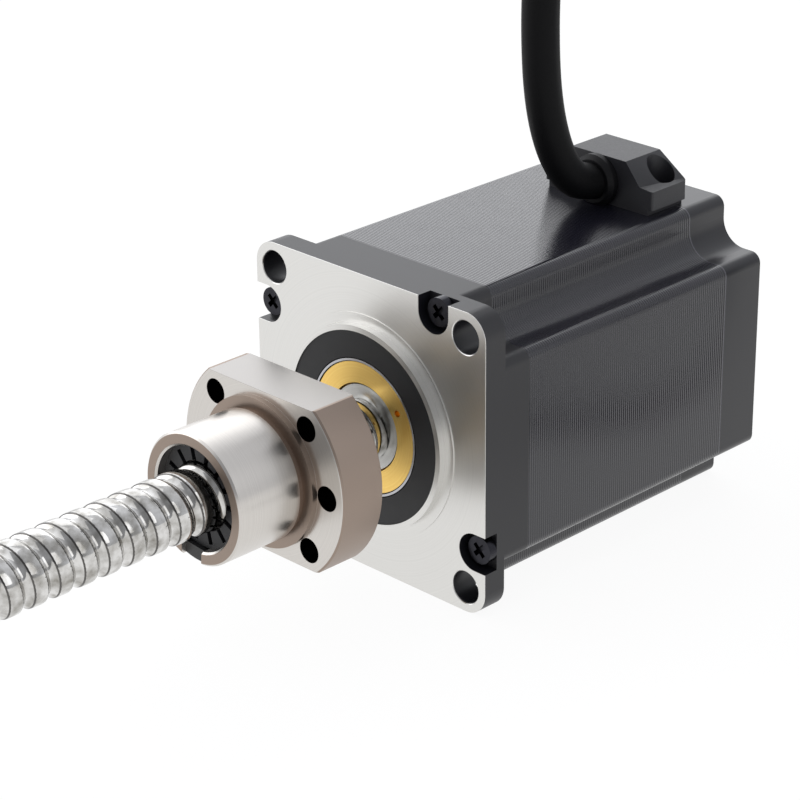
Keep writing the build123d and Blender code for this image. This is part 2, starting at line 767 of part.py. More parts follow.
# Cable jacket
arch_x = 0.704
arch_y = 0.710
arch_run = cable_arch_r * tan(pi / 6)
arch_half = 2 * arch_run * cos(pi / 6)
arch_foot = Vector(clamp_x + cable_arch_shift, clamp_y - cable_arch_reach, cable_arch_start)
landing = arch_foot + Vector(2 * arch_half * arch_x, 2 * arch_half * arch_y, 0)
landing_run = cable_arch_r * tan(pi / 8)
floor_axis_z = floor_z + cable_d / 2
last_heading = Vector(0.6, -0.8, 0)
touch_down = Vector(landing.X, landing.Y, floor_axis_z) + last_heading * (cable_arch_r - landing_run)
jacket_end = touch_down + last_heading * cable_last_run
cable_route = [
    (clamp_x, clamp_y + running_gap, cable_z),
    (clamp_x, clamp_y - cable_straight_length, cable_z),
    (clamp_x, clamp_y - cable_bend_reach, cable_z + cable_bend_height),
    (clamp_x, clamp_y - cable_lean_reach, cable_z + cable_lean_height),
    (clamp_x, clamp_y - cable_upright_reach, cable_z + cable_upright_height),
    (arch_foot.X, arch_foot.Y, cable_arch_start),
    (arch_foot.X, arch_foot.Y - 0.5, cable_arch_start + arch_run),
    (arch_foot.X + arch_half * arch_x, arch_foot.Y + arch_half * arch_y, cable_arch_start + 2 * arch_run),
    (landing.X, landing.Y, cable_arch_start + arch_run),
    (landing.X + 0.7, landing.Y + 0.6, 46.0),
    (landing.X, landing.Y, floor_axis_z + cable_arch_r - landing_run),
    touch_down,
    jacket_end,
]
cable_radii = bend_radii(cable_route)
cable = tube(cable_d, cable_route, cable_radii)
cable.label = "cable"
export_step(cable, "parts/cable.step")
print("cable length", round(cable.volume / (pi * cable_d**2 / 4), 1))
print("bend radii", [round(radius, 1) for radius in cable_radii])

# Four lead wires that fan out from the jacket's end down to the floor
lead_floor = floor_z + lead_d / 2 + seat_gap
with BuildPart() as lead_wires:
    for place, height, spread in ((-1.4, 1.4, -6.0), (-1.3, -1.3, -2.0), (1.3, -1.3, 2.0), (1.4, 1.4, 6.0)):
        aside = Vector(-last_heading.Y, last_heading.X, 0)
        start = jacket_end + last_heading * running_gap + aside * place + Vector(0, 0, height)
        fall = lead_floor - floor_axis_z - height
        run = last_heading * lead_reach + aside * (spread - place) + Vector(0, 0, fall)
        with BuildSketch(Plane(origin=start, z_dir=run)):
            Circle(lead_d / 2)
        extrude(amount=run.length)
lead_wires.part.label = "lead_wires"
export_step(lead_wires.part, "parts/lead_wires.step")
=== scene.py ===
"""Dresses the ball screw stepper motor: finishes for every part, the screw rod, the cable and a studio."""

from math import cos, pi, radians, sin, sqrt

import bpy
from mathutils import Matrix, Vector


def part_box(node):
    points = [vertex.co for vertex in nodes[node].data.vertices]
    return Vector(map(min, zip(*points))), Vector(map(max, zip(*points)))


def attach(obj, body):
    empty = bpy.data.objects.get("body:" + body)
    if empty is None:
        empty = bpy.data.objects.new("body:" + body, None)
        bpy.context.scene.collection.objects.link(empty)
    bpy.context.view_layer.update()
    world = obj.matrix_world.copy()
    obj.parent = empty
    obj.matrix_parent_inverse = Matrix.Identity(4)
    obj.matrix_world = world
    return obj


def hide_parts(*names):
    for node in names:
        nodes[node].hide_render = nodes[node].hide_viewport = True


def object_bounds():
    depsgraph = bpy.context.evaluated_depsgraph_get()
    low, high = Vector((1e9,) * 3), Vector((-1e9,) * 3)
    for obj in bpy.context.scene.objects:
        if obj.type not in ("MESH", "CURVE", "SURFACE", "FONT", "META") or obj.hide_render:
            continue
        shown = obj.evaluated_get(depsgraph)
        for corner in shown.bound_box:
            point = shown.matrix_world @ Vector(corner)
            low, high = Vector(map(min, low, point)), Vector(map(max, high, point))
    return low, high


bl_info = {
    "name": "Ball Screw Stepper Motor",
    "version": (1, 0, 0),
    "blender": (4, 5, 0),
    "location": "View3D > Sidebar > Motor",
    "description": "Finishes a stepper motor with a ball screw, its nut, its cable and a studio round it",
    "category": "Object",
}

MM = 0.001
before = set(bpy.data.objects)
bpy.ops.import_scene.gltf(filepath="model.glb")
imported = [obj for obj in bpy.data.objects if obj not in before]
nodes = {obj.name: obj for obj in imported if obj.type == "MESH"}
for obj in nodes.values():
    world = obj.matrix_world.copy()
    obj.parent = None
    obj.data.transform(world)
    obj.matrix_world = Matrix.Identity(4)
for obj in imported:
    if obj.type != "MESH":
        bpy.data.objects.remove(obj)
cad_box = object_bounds()
floor_level = cad_box[0][2]
screw_start, screw_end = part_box("ball_screw")
# How far a mask reaches past the surface that it covers
margin = 0.05 * MM


class ScrewSizes(bpy.types.PropertyGroup):
    """Sizes of the ball screw's track."""

    lead: bpy.props.FloatProperty(
        name="Lead", description="Travel in one turn", default=5 * MM, unit="LENGTH"
    )
    radius: bpy.props.FloatProperty(
        name="Radius", description="Outside radius of the rod", default=screw_end[0], unit="LENGTH"
    )
    arch_radius: bpy.props.FloatProperty(
        name="Arch radius", description="Radius of each half of the track's arch", default=1.35 * MM,
        unit="LENGTH",
    )
    arch_offset: bpy.props.FloatProperty(
        name="Arch offset", description="How far each half's centre lies past the middle", default=0.10 * MM,
        unit="LENGTH",
    )
    half_width: bpy.props.FloatProperty(
        name="Half width", description="Half of the track's width", default=1.15 * MM, unit="LENGTH"
    )
    edge_break: bpy.props.FloatProperty(
        name="Edge break", description="Rounding where the land meets the track", default=0.18 * MM,
        unit="LENGTH",
    )
    crown: bpy.props.FloatProperty(
        name="Crown", description="How much the land's middle stands above its edges", default=0.05 * MM,
        unit="LENGTH",
    )
    journal: bpy.props.FloatProperty(
        name="Journal", description="Radius of the end held in the rotor shaft", default=5 * MM, unit="LENGTH"
    )
    track_start: bpy.props.FloatProperty(
        name="Track start", description="Where the track begins, ahead of the mounting face",
        default=1.0 * MM, unit="LENGTH",
    )


class CableSizes(bpy.types.PropertyGroup):
    """Sizes of the cable and its lead wires."""

    diameter: bpy.props.FloatProperty(name="Diameter", description="Outside of the jacket", default=6.8 * MM,
                                      unit="LENGTH")
    lead_diameter: bpy.props.FloatProperty(name="Lead diameter", description="Outside of one lead wire",
                                           default=1.6 * MM, unit="LENGTH")


class Finishes(bpy.types.PropertyGroup):
    """Colours of the surfaces, as sRGB hex values."""

    black_paint: bpy.props.StringProperty(name="Black paint", description="Castings", default="#0C0C13")
    black_stack: bpy.props.StringProperty(name="Black stack", description="Laminations", default="#0D0D16")
    aluminium: bpy.props.StringProperty(name="Aluminium", description="Milled face", default="#E4E3E0")
    brass: bpy.props.StringProperty(name="Brass", description="Lock nut", default="#FFDC86")
    nut_steel: bpy.props.StringProperty(name="Nut steel", description="Ground nut", default="#DCD8D3")
    track_steel: bpy.props.StringProperty(name="Track steel", description="Polished screw", default="#DAD9D7")
    cable: bpy.props.StringProperty(name="Cable", description="Cable jacket", default="#0B0B0C")
    clamp: bpy.props.StringProperty(name="Clamp", description="Moulded clamp", default="#232327")
    copper: bpy.props.StringProperty(name="Copper", description="Enamelled wire", default="#B0602C")


class CameraSettings(bpy.types.PropertyGroup):
    """Where the camera stands."""

    azimuth: bpy.props.FloatProperty(name="Azimuth", description="From straight ahead",
                                     default=radians(45.246), subtype="ANGLE")
    elevation: bpy.props.FloatProperty(name="Elevation", description="Above the horizon",
                                       default=radians(24.131), subtype="ANGLE")
    roll: bpy.props.FloatProperty(name="Roll", description="Turn about the view axis",
                                  default=radians(-0.607), subtype="ANGLE")
    distance: bpy.props.FloatProperty(name="Distance", description="From the aim", default=473.524 * MM,
                                      unit="LENGTH")
    aim: bpy.props.FloatVectorProperty(name="Aim", description="Point at the middle of the picture",
                                       default=(7.901 * MM, 0, 7.343 * MM), unit="LENGTH")
    lens: bpy.props.FloatProperty(name="Lens", description="Focal length in mm, 36 mm sensor", default=123.0)


def srgb(code):
    """A colour from an sRGB hex value, in Blender's linear light."""
    channels = [int(code[i:i + 2], 16) / 255 for i in (1, 3, 5)]
    linear = [c / 12.92 if c <= 0.04045 else ((c + 0.055) / 1.055) ** 2.4 for c in channels]
    return (*linear, 1.0)


def add_node(tree, kind, values=None, links=None, **settings):
    """Adds a node, with its settings, its sockets' values and the links into them."""
    made = tree.nodes.new(kind)
    for name, value in settings.items():
        setattr(made, name, value)
    for socket, value in (values or {}).items():
        made.inputs[socket].default_value = value
    for socket, source in (links or {}).items():
        tree.links.new(source, made.inputs[socket])
    return made


def new_material(name):
    """A node material with its shader and output, and nothing else."""
    material = bpy.data.materials.new(name)
    material.use_nodes = True
    tree = material.node_tree
    tree.nodes.clear()
    shader = add_node(tree, "ShaderNodeBsdfPrincipled")
    add_node(tree, "ShaderNodeOutputMaterial", links={"Surface": shader.outputs["BSDF"]})
    return material, tree, shader


def object_place(tree):
    """The object coordinates that every pattern reads."""
    return add_node(tree, "ShaderNodeTexCoord").outputs["Object"]


def round_the_axis(tree):
    """The separate coordinates, the place across the screw's axis, and the distance from that axis."""
    place = add_node(tree, "ShaderNodeSeparateXYZ", links={"Vector": object_place(tree)}).outputs
    across = add_node(tree, "ShaderNodeCombineXYZ", links={"X": place["X"], "Z": place["Z"]})
    across = across.outputs["Vector"]
    radius = add_node(tree, "ShaderNodeVectorMath", links={"Vector": across}, operation="LENGTH")
    return place, across, radius.outputs["Value"]


def turned_lines(tree, spacing):
    """Grooves that a lathe leaves: rings on a flat face and bands along a cylinder, spacing apart."""
    place, across, radius = round_the_axis(tree)
    along = add_node(tree, "ShaderNodeMath", links={0: radius, 1: place["Y"]}, operation="ADD")
    return add_node(tree, "ShaderNodeTexNoise", {"Scale": 1 / spacing, "Detail": 3.0, "Roughness": 0.7},
                    {"W": along.outputs[0]}, noise_dimensions="1D").outputs["Fac"]


def soft_noise(tree, size, detail=2.0):
    """Soft uneven spots of the given size."""
    return add_node(tree, "ShaderNodeTexNoise", {"Scale": 1 / size, "Detail": detail},
                    {"Vector": object_place(tree)}).outputs["Fac"]


def spread(tree, source, low, high):
    """Maps a pattern from 0 to 1 onto the values from low to high."""
    mapped = add_node(tree, "ShaderNodeMapRange", {"To Min": low, "To Max": high}, {"Value": source})
    return mapped.outputs["Result"]


def blend(tree, factor, first, second):
    """A colour between two others, each of them a fixed colour or another node's output."""
    mixed = add_node(tree, "ShaderNodeMix", links={0: factor}, data_type="RGBA")
    for socket, colour in ((mixed.inputs[6], first), (mixed.inputs[7], second)):
        if isinstance(colour, tuple):
            socket.default_value = colour
        else:
            tree.links.new(colour, socket)
    return mixed.outputs[2]


def within(tree, source, low, high):
    """1 where a measured value lies between two limits."""
    above = add_node(tree, "ShaderNodeMath", {1: low}, {0: source}, operation="GREATER_THAN")
    below = add_node(tree, "ShaderNodeMath", {1: high}, {0: source}, operation="LESS_THAN")
    return add_node(tree, "ShaderNodeMath", links={0: above.outputs[0], 1: below.outputs[0]},
                    operation="MULTIPLY").outputs[0]


def either(tree, first, second):
    """1 where one of two masks is 1."""
    return add_node(tree, "ShaderNodeMath", links={0: first, 1: second}, operation="MAXIMUM").outputs[0]


def bump(tree, shader, height, distance, strength=0.5):
    """Raises the surface by a pattern."""
    raised = add_node(tree, "ShaderNodeBump", {"Distance": distance, "Strength": strength},
                      {"Height": height})
    tree.links.new(raised.outputs["Normal"], shader.inputs["Normal"])


def painted_casting(name, code):
    """Black powder paint on a die casting: satin, with a faint orange peel."""
    material, tree, shader = new_material(name)
    peel = soft_noise(tree, 0.45 * MM)
    patches = soft_noise(tree, 9 * MM, 3)
    tree.links.new(blend(tree, patches, srgb(code), srgb("#13131B")), shader.inputs["Base Color"])
    tree.links.new(spread(tree, patches, 0.26, 0.36), shader.inputs["Roughness"])
    shader.inputs["Specular IOR Level"].default_value = 0.6
    bump(tree, shader, peel, 0.012 * MM, 0.25)
    return material


def laminated_stack(name, code):
    """Painted silicon steel laminations: a fine line for each sheet, and a light edge at the rear joint."""
    material, tree, shader = new_material(name)
    sheet = 0.55 * MM
    last_edge = 0.14 * MM
    place = object_place(tree)
    # At a scale of 1, the bands repeat after pi / 10
    lines = add_node(tree, "ShaderNodeTexWave", {"Scale": pi / 10 / sheet, "Distortion": 0.12, "Detail": 1.0},
                     {"Vector": place}, wave_type="BANDS", bands_direction="Y").outputs["Fac"]
    uneven = soft_noise(tree, 5 * MM, 4)
    along = add_node(tree, "ShaderNodeSeparateXYZ", links={"Vector": place}).outputs["Y"]
    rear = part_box("stator_core")[1][1]
    edge = within(tree, along, rear - last_edge, rear + margin)
    painted = blend(tree, lines, srgb(code), srgb("#202029"))
    tree.links.new(blend(tree, edge, painted, srgb("#5C5C63")), shader.inputs["Base Color"])
    tree.links.new(spread(tree, uneven, 0.16, 0.24), shader.inputs["Roughness"])
    shader.inputs["Specular IOR Level"].default_value = 0.65
    bump(tree, shader, lines, 0.055 * MM, 0.65)
    return material


def faced_casting(name, paint, metal):
    """The flange: black paint, milled off to bright aluminium on the mounting face and the pilot."""
    material, tree, shader = new_material(name)
    milled_depth = 0.12 * MM
    place = add_node(tree, "ShaderNodeSeparateXYZ", links={"Vector": object_place(tree)})
    bare = add_node(tree, "ShaderNodeMath", {1: milled_depth}, {0: place.outputs["Y"]},
                    operation="LESS_THAN").outputs[0]
    lines = turned_lines(tree, 0.35 * MM)
    face_colour = blend(tree, lines, srgb(metal), srgb("#DAD9D6"))
    tree.links.new(blend(tree, bare, srgb(paint), face_colour), shader.inputs["Base Color"])
    tree.links.new(bare, shader.inputs["Metallic"])
    tree.links.new(spread(tree, bare, 0.42, 0.3), shader.inputs["Roughness"])
    shader.inputs["Specular IOR Level"].default_value = 0.6
    bump(tree, shader, lines, 0.006 * MM, 0.15)
    return material


def turned_metal(name, code, tint, spacing, rough, depth=0.006):
    """Metal turned or ground on a lathe, with its fine rings and a slightly uneven sheen."""
    material, tree, shader = new_material(name)
    lines = turned_lines(tree, spacing)
    tree.links.new(blend(tree, lines, srgb(code), srgb(tint)), shader.inputs["Base Color"])
    tree.links.new(spread(tree, lines, rough * 0.85, rough * 1.2), shader.inputs["Roughness"])
    shader.inputs["Metallic"].default_value = 1.0
    bump(tree, shader, lines, depth * MM, 0.3)
    return material


def hardened_steel(name, code, brown):
    """The nut: ground bright, with painted shade in its bores and on its top flats, and brown on its rim, in
    its groove and round its flange.
    """
    material, tree, shader = new_material(name)
    flange_depth, groove_width, rim_depth, edge_depth = 9.4 * MM, 2.32 * MM, MM, 0.3 * MM
    corner_hole, side_hole, bore_radius = 11.314 * MM, 16 * MM, 2.28 * MM
    (_, front, _), (side, rear, top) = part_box("nut_body")
    flange_face = rear - flange_depth
    lines = turned_lines(tree, 0.22 * MM)
    place, across, radius = round_the_axis(tree)
    rim = within(tree, place["Y"], front - rim_depth, front + margin)
    groove = within(tree, place["Y"], flange_face - groove_width, flange_face - 0.02 * MM)
    outside = within(tree, radius, side - edge_depth, side + MM)
    unground = either(tree, either(tree, rim, groove), outside)
    # Painted shade: the top flats get a darker base colour, which stands in for the dimmer reflection on them
    flats_painted_shade = add_node(tree, "ShaderNodeMath", {1: top - margin}, {0: place["Z"]},
                     operation="GREATER_THAN").outputs[0]
    folded = add_node(tree, "ShaderNodeVectorMath", links={0: across}, operation="ABSOLUTE").outputs["Vector"]
    # Painted shade: the walls of the bores are painted dark, where shade falls inside the holes
    bore_shade_masks = []
    for middle in ((corner_hole, 0, corner_hole), (side_hole, 0, 0)):
        reach = add_node(tree, "ShaderNodeVectorMath", {1: middle}, {0: folded}, operation="DISTANCE")
        bore_shade_masks.append(add_node(tree, "ShaderNodeMath", {1: bore_radius}, {0: reach.outputs["Value"]},
                              operation="LESS_THAN").outputs[0])
    ground = blend(tree, lines, srgb(code), srgb("#C5C1BC"))
    face_colour = blend(tree, flats_painted_shade, ground, srgb("#A3A09D"))
    outer = blend(tree, unground, face_colour, srgb(brown))
    whole = blend(tree, either(tree, bore_shade_masks[0], bore_shade_masks[1]), outer, srgb("#2B2725"))
    tree.links.new(whole, shader.inputs["Base Color"])
    tree.links.new(spread(tree, unground, 0.28, 0.42), shader.inputs["Roughness"])
    shader.inputs["Metallic"].default_value = 1.0
    bump(tree, shader, lines, 0.006 * MM, 0.3)
    return material


def polished_steel(name, code):
    """Hardened and polished bearing steel: nearly a mirror, with faint marks and a painted dark reflection at
    the track's edge.
    """
    material, tree, shader = new_material(name)
    lip_low, lip_high = screw_end[0] - 0.26 * MM, screw_end[0] - 0.06 * MM
    noise = soft_noise(tree, 2.4 * MM, 5)
    marks = add_node(tree, "ShaderNodeMapRange", {"From Min": 0.35, "From Max": 0.8},
                     {"Value": noise}).outputs["Result"]
    place, across, radius = round_the_axis(tree)
    # Painted reflection: a dark band round the edge break of the track stands in for the dark reflection
    # there
    dark_reflection_band = within(tree, radius, lip_low, lip_high)
    polished = blend(tree, marks, srgb(code), srgb("#77736A"))
    tree.links.new(blend(tree, dark_reflection_band, polished, srgb("#605E5C")), shader.inputs["Base Color"])
    tree.links.new(spread(tree, marks, 0.05, 0.18), shader.inputs["Roughness"])
    shader.inputs["Metallic"].default_value = 1.0
    bump(tree, shader, noise, 0.003 * MM, 0.2)
    return material


def moulded_plastic(name, code, tint, rough=0.5, grain=0.35, gloss=0.5):
    """Moulded plastic or rubber: an even colour with a fine spark-eroded grain."""
    material, tree, shader = new_material(name)
    speckle = soft_noise(tree, grain * MM, 2)
    tree.links.new(blend(tree, soft_noise(tree, 6 * MM), srgb(code), srgb(tint)), shader.inputs["Base Color"])
    tree.links.new(spread(tree, speckle, rough - 0.06, rough + 0.08), shader.inputs["Roughness"])
    shader.inputs["Specular IOR Level"].default_value = gloss
    bump(tree, shader, speckle, 0.03 * MM, 0.3)
    return material


def plain_finish(name, code, tint, rough, metallic=0.0, size=2.0):
    """An even surface with slight cloudy changes of tone."""
    material, tree, shader = new_material(name)
    cloud = soft_noise(tree, size * MM, 3)
    tree.links.new(blend(tree, cloud, srgb(code), srgb(tint)), shader.inputs["Base Color"])
    tree.links.new(spread(tree, cloud, rough - 0.05, rough + 0.05), shader.inputs["Roughness"])
    shader.inputs["Metallic"].default_value = metallic
    bump(tree, shader, cloud, 0.01 * MM, 0.2)
    return material


def finish_node(name, material):
    """Gives a CAD node its material."""
    target = nodes[name]
    target.data.materials.clear()
    target.data.materials.append(material)


def deselect():
    """Leaves nothing selected and no object in edit mode."""
    if bpy.context.object and bpy.context.object.mode != "OBJECT":
        bpy.ops.object.mode_set(mode="OBJECT")
    bpy.ops.object.select_all(action="DESELECT")


def draw_profile(name, points):
    """An open profile in the XY plane, drawn vertex by vertex as by hand."""
    deselect()
    first = Vector((*points[0], 0))
    bpy.ops.mesh.primitive_plane_add(size=MM, location=first)
    profile = bpy.context.object
    profile.name = name
    bpy.ops.object.transform_apply(location=True)
    bpy.ops.object.mode_set(mode="EDIT")
    bpy.ops.mesh.select_all(action="SELECT")
    bpy.ops.mesh.merge(type="CENTER")
    last = first
    for x, y in points[1:]:
        step = Vector((x, y, 0)) - last
        bpy.ops.mesh.extrude_vertices_move(TRANSFORM_OT_translate={"value": step})
        last = last + step
    bpy.ops.object.mode_set(mode="OBJECT")
    return profile


def apply_modifier(piece, kind, **settings):
    """Adds a modifier and applies it at once."""
    modifier = piece.modifiers.new(kind.title(), kind)
    for name, value in settings.items():
        setattr(modifier, name, value)
    bpy.context.view_layer.objects.active = piece
    bpy.ops.object.modifier_apply(modifier=modifier.name)


def spun(name, points, steps=96):
    """A closed body turned about the Y axis from a profile that starts and ends on the axis."""
    piece = draw_profile(name, points)
    apply_modifier(piece, "SCREW", axis="Y", steps=steps, render_steps=steps, use_merge_vertices=True,
                   merge_threshold=0.001 * MM)
    bpy.ops.object.mode_set(mode="EDIT")
    bpy.ops.mesh.select_all(action="SELECT")
    bpy.ops.mesh.remove_doubles(threshold=0.001 * MM)
    bpy.ops.mesh.normals_make_consistent(inside=False)
    bpy.ops.object.mode_set(mode="OBJECT")
    return piece


def track_profile(sizes, samples=6):
    """One lead of the rod: half a land, the pointed arch of the track and the other half of the land."""
    half_land = sizes.lead / 2 - sizes.half_width
    mouth = sqrt(sizes.arch_radius ** 2 - (sizes.half_width + sizes.arch_offset) ** 2)
    land_steps = 3
    points = []
    for i in range(land_steps):
        t = i / land_steps * (half_land - sizes.edge_break)
        points.append((sizes.radius - sizes.crown * (t / half_land) ** 2, -sizes.lead / 2 + t))
    edge = sizes.radius - sizes.crown
    points.append((edge, -sizes.half_width - sizes.edge_break))
    points.append((edge - 0.3 * sizes.edge_break, -sizes.half_width - 0.3 * sizes.edge_break))
    for i in range(1, samples + 1):
        t = sizes.half_width * (1 - i / samples)
        depth = sqrt(sizes.arch_radius ** 2 - (t + sizes.arch_offset) ** 2) - mouth
        points.append((edge - 0.15 * sizes.edge_break - depth, -t))
    mirrored = [(x, -y) for x, y in reversed(points[:-1])]
    return points + mirrored


def build_screw_rod(context):
    """The ball screw with its helical track, cut square at both ends, and the journal behind it."""
    sizes = context.scene.screw_sizes
    free_end = screw_start[1]
    turns = int(-free_end / sizes.lead) + 3
    profile = [(x, y + free_end - sizes.lead) for x, y in track_profile(sizes)]
    rod = draw_profile("screw_rod", profile)
    apply_modifier(rod, "SCREW", axis="Y", steps=48, render_steps=48, iterations=turns,
                   screw_offset=sizes.lead, use_merge_vertices=False)
    bpy.ops.object.mode_set(mode="EDIT")
    bpy.ops.mesh.select_all(action="SELECT")
    bpy.ops.mesh.remove_doubles(threshold=0.005 * MM)
    bpy.ops.mesh.select_all(action="SELECT")
    bpy.ops.mesh.bisect(plane_co=(0, free_end, 0), plane_no=(0, 1, 0), use_fill=True, clear_inner=True)
    bpy.ops.mesh.select_all(action="SELECT")
    bpy.ops.mesh.bisect(plane_co=(0, -sizes.track_start, 0), plane_no=(0, 1, 0), use_fill=True,
                        clear_outer=True)
    bpy.ops.mesh.select_all(action="SELECT")
    bpy.ops.mesh.normals_make_consistent(inside=False)
    bpy.ops.mesh.faces_shade_smooth()
    bpy.ops.object.mode_set(mode="OBJECT")
    journal_end = screw_end[1]
    journal = spun("screw_journal", [(0, -sizes.track_start), (sizes.journal, -sizes.track_start),
                                     (sizes.journal, journal_end), (0, journal_end)])
    deselect()
    journal.select_set(True)
    rod.select_set(True)
    bpy.context.view_layer.objects.active = rod
    bpy.ops.object.join()
    bpy.ops.object.shade_smooth_by_angle(angle=radians(35))
    rod.data.materials.append(polished_steel("Polished bearing steel", context.scene.finishes.track_steel))
    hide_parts("ball_screw")
    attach(rod, "screw")


def smooth_route(name, points, diameter):
    """A round cord on one smooth spline."""
    curve = bpy.data.curves.new(name, "CURVE")
    curve.dimensions = "3D"
    spline = curve.splines.new("NURBS")
    spline.points.add(len(points) - 1)
    for point, place in zip(spline.points, points):
        point.co = (*place, 1)
    spline.order_u = 3
    spline.use_endpoint_u = True
    spline.resolution_u = 8
    curve.bevel_depth = diameter / 2
    curve.bevel_resolution = 6
    curve.use_fill_caps = True
    piece = bpy.data.objects.new(name, curve)
    bpy.context.collection.objects.link(piece)
    return piece


# The cable's route, the same points as the solid's, in metres
cable_route = [
    (0.00370, 0.05630, 0.03250),
    (0.00370, 0.05060, 0.03250),
    (0.00370, 0.04460, 0.03890),
    (0.00370, 0.04060, 0.05050),
    (0.00370, 0.03950, 0.06600),
    (0.00410, 0.04000, 0.08000),
    (0.00410, 0.03950, 0.09963),
    (0.02804, 0.06414, 0.11926),
    (0.05197, 0.08828, 0.09963),
    (0.05267, 0.08888, 0.04600),
    (0.05197, 0.08828, -0.00488),
    (0.06392, 0.07235, -0.02480),
    (0.07592, 0.05635, -0.02480),
]


def build_cable(context):
    """The cable jacket, from the clamp up, over and down to the floor."""
    sizes = context.scene.cable_sizes
    jacket = smooth_route("cable_jacket", cable_route, sizes.diameter)
    jacket.data.materials.append(moulded_plastic("Matte PVC jacket", context.scene.finishes.cable, "#0E0E10",
                                                 0.55, 0.3, 0.12))
    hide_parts("cable")
    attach(jacket, "motor")


def finish_motor(context):
    """Finishes of the motor's fixed parts."""
    colours = context.scene.finishes
    casting = painted_casting("Black powder paint on cast aluminium", colours.black_paint)
    finish_node("rear_cover", casting)
    finish_node("bearing_cover_ring", plain_finish("Black anodised ring", "#0D0D10", "#141418", 0.5))
    finish_node("front_flange", faced_casting("Painted casting with milled face", colours.black_paint,
                                              colours.aluminium))
    finish_node("stator_core", laminated_stack("Painted steel laminations", colours.black_stack))
    finish_node("assembly_screws", plain_finish("Black oxide screw steel", "#2A2A2E", "#3C3C42",
                                                0.3, 1.0, 1.0))
    finish_node("clamp_screws", plain_finish("Blackened clamp screw steel", "#2A2A2E", "#3C3C42",
                                             0.35, 1.0, 1.0))
    finish_node("stator_coils", plain_finish("Enamelled copper wire", colours.copper, "#8A4620",
                                             0.3, 0.6, 0.8))
    for name in ("front_insulator", "rear_insulator"):
        finish_node(name, plain_finish("Moulded glass nylon, " + name, "#D8D4C4", "#C8C4B4", 0.5))
    for name in ("front_bearing_outer_ring", "rear_bearing_outer_ring", "wave_washer"):
        finish_node(name, turned_metal("Ground bearing steel, " + name, "#C4C4C8", "#B0B0B4", 0.3 * MM, 0.22))


def finish_clamp(context):
    """Finishes of the clamp, the grommet and the lead wires."""
    colours = context.scene.finishes
    finish_node("cable_clamp", moulded_plastic("Moulded black nylon", colours.clamp, "#2B2B2F", 0.42))
    finish_node("cable_grommet", moulded_plastic("Black rubber", "#0E0E10", "#131316", 0.5, gloss=0.2))
    finish_node("lead_wires", moulded_plastic("PVC lead insulation", "#1A1A1C", "#202023", 0.4))


def finish_rotor(context):
    """Finishes of the rotor, its bearings and the brass lock nut."""
    colours = context.scene.finishes
    finish_node("rotor_shaft", turned_metal("Turned shaft steel", "#DADAD8", "#BEBEBC", 0.25 * MM, 0.32))
    for name in ("rotor_cup_front", "rotor_cup_rear"):
        finish_node(name, plain_finish("Rotor sheet steel, " + name, "#8C8C90", "#77777B", 0.4, 1.0))
    finish_node("rotor_magnet", plain_finish("Sintered magnet", "#4A4A4E", "#3C3C40", 0.5, 0.8))
    for name in ("front_bearing_inner_ring", "rear_bearing_inner_ring"):
        finish_node(name, turned_metal("Ground ring steel, " + name, "#C4C4C8", "#B0B0B4", 0.3 * MM, 0.2))
    finish_node("bearing_lock_nut", turned_metal("Turned brass", colours.brass, "#F0C468", 0.3 * MM, 0.3))


def finish_nut(context):
    """Finishes of the ball nut."""
    colours = context.scene.finishes
    finish_node("nut_body", hardened_steel("Ground and hardened nut steel", colours.nut_steel, "#9C8D82"))
    for name in ("front_return_cap", "rear_return_cap"):
        finish_node(name, moulded_plastic("Moulded acetal, " + name, "#151516", "#1B1B1D", 0.35))
    for name in ("front_wiper", "rear_wiper"):
        finish_node(name, moulded_plastic("Wiper plastic, " + name, "#1A1A1C", "#232326", 0.5))


def background_rays(tree, glossy):
    """1 for the rays that should find the plain white background, and 0 for the light on the object."""
    rays = add_node(tree, "ShaderNodeLightPath")
    white = add_node(tree, "ShaderNodeMath", operation="MAXIMUM",
                     links={0: rays.outputs["Is Camera Ray"], 1: rays.outputs["Is Transmission Ray"]})
    if glossy:
        white = add_node(tree, "ShaderNodeMath", operation="MAXIMUM",
                         links={0: white.outputs[0], 1: rays.outputs["Is Glossy Ray"]})
    return white.outputs[0]


